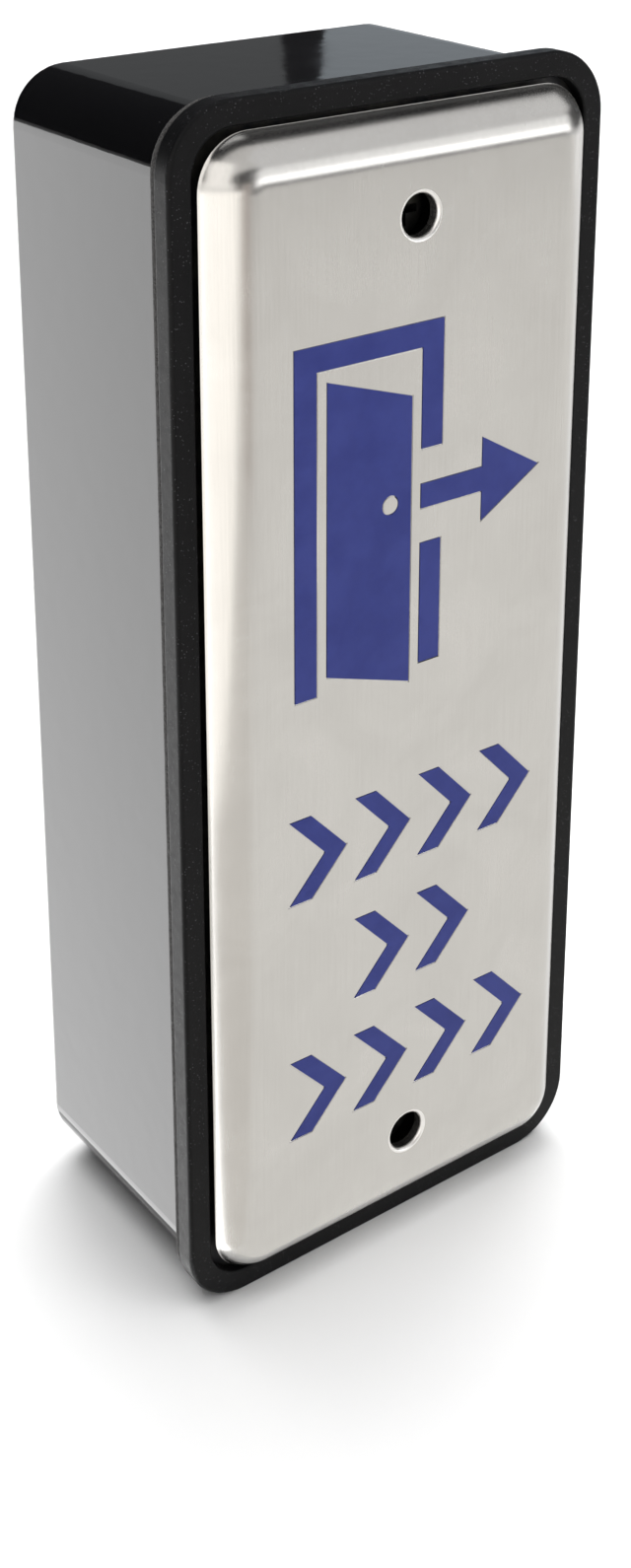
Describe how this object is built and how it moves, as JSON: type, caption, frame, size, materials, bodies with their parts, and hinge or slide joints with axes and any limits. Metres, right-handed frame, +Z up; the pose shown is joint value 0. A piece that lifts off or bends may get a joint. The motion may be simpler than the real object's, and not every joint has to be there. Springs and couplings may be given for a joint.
{
  "type": "pedestrian push button",
  "caption": "Wall-mounted push plate switch: a brushed steel plate in a black bezel on a deep surface box, pressed by hand to open an automatic door.",
  "frame": {"origin": "centre of the box's back face, in the plane of the wall", "axes": "+Y points into the wall, +Z is up along the height, and the front looks along -Y"},
  "size_m": [0.049, 0.032, 0.121],
  "materials": {
    "box_abs": "gloss moulded ABS, black",
    "foam": "closed-cell foam, charcoal",
    "bezel_abs": "fine satin, black",
    "stainless": "brushed along the height",
    "blue_paint": "satin enamel fill, blue",
    "zinc_steel": "black passivated zinc plate",
    "bright_steel": "turned",
    "spring_steel": "drawn",
    "brass": "turned",
    "copper_alloy": "stamped",
    "acetal": "natural acetal",
    "switch_plastic": "phenolic, black",
    "button_plastic": "red",
    "block_plastic": "light grey nylon",
    "black_lead": "silicone insulation",
    "red_lead": "silicone insulation",
    "sleeve_black": "heat-shrink",
    "grommet_rubber": "moulded rubber"
  },
  "bodies": {
    "housing": {"surface_box": "box_abs", "box_gasket": "foam", "bezel_frame": "bezel_abs", "chassis_plate": "zinc_steel", "chassis_screws": "zinc_steel", "insert_nuts": "brass", "guide_bushes": "acetal", "return_springs": "spring_steel", "switch_bracket": "zinc_steel", "switch_case": "switch_plastic", "switch_cover": "switch_plastic", "lever_pin": "bright_steel", "contact_common": "copper_alloy", "contact_open": "copper_alloy", "contact_closed": "copper_alloy", "switch_screws": "bright_steel", "switch_nuts": "bright_steel", "terminal_block": "block_plastic", "terminal_clamps": "brass", "terminal_screws": "bright_steel", "block_screw": "bright_steel", "lead_common": "black_lead", "lead_open": "red_lead", "lead_sleeves": "sleeve_black", "cable_grommet": "grommet_rubber"},
    "plate": {"push_plate": "stainless", "plate_symbol": "blue_paint", "plate_legend": "blue_paint", "guide_pins": "bright_steel", "retaining_clips": "spring_steel", "press_stud": "bright_steel", "press_cap": "acetal"},
    "lever": {"switch_lever": "spring_steel"},
    "button": {"switch_button": "button_plastic"},
    "blade": {"moving_contact": "copper_alloy"}
  },
  "joints": [
    {"name": "plate_press", "type": "slide", "parent": "housing", "child": "plate", "axis": [0, 1, 0], "range_m": [0, 0.0012], "stiffness_N_per_m": 2500, "springref_m": -0.002, "deforming": ["return_springs"]},
    {"name": "lever_hinge", "type": "hinge", "parent": "housing", "child": "lever", "pos_m": [0, -0.0245, 0.0135], "axis": [1, 0, 0], "range_deg": [0, 5.3]},
    {"name": "button_slide", "type": "slide", "parent": "housing", "child": "button", "axis": [0, 1, 0], "range_m": [0, 0.0005]},
    {"name": "blade_hinge", "type": "hinge", "parent": "housing", "child": "blade", "pos_m": [0, -0.019, -0.0036], "axis": [-1, 0, 0], "range_deg": [0, 2.6]}
  ],
  "couplings": [
    {"joint": "lever_hinge", "follows": "plate_press", "rad_per_m": 72.87},
    {"joint": "button_slide", "follows": "plate_press", "ratio": 0.3982},
    {"joint": "blade_hinge", "follows": "plate_press", "rad_per_m": 34.344}
  ]
}
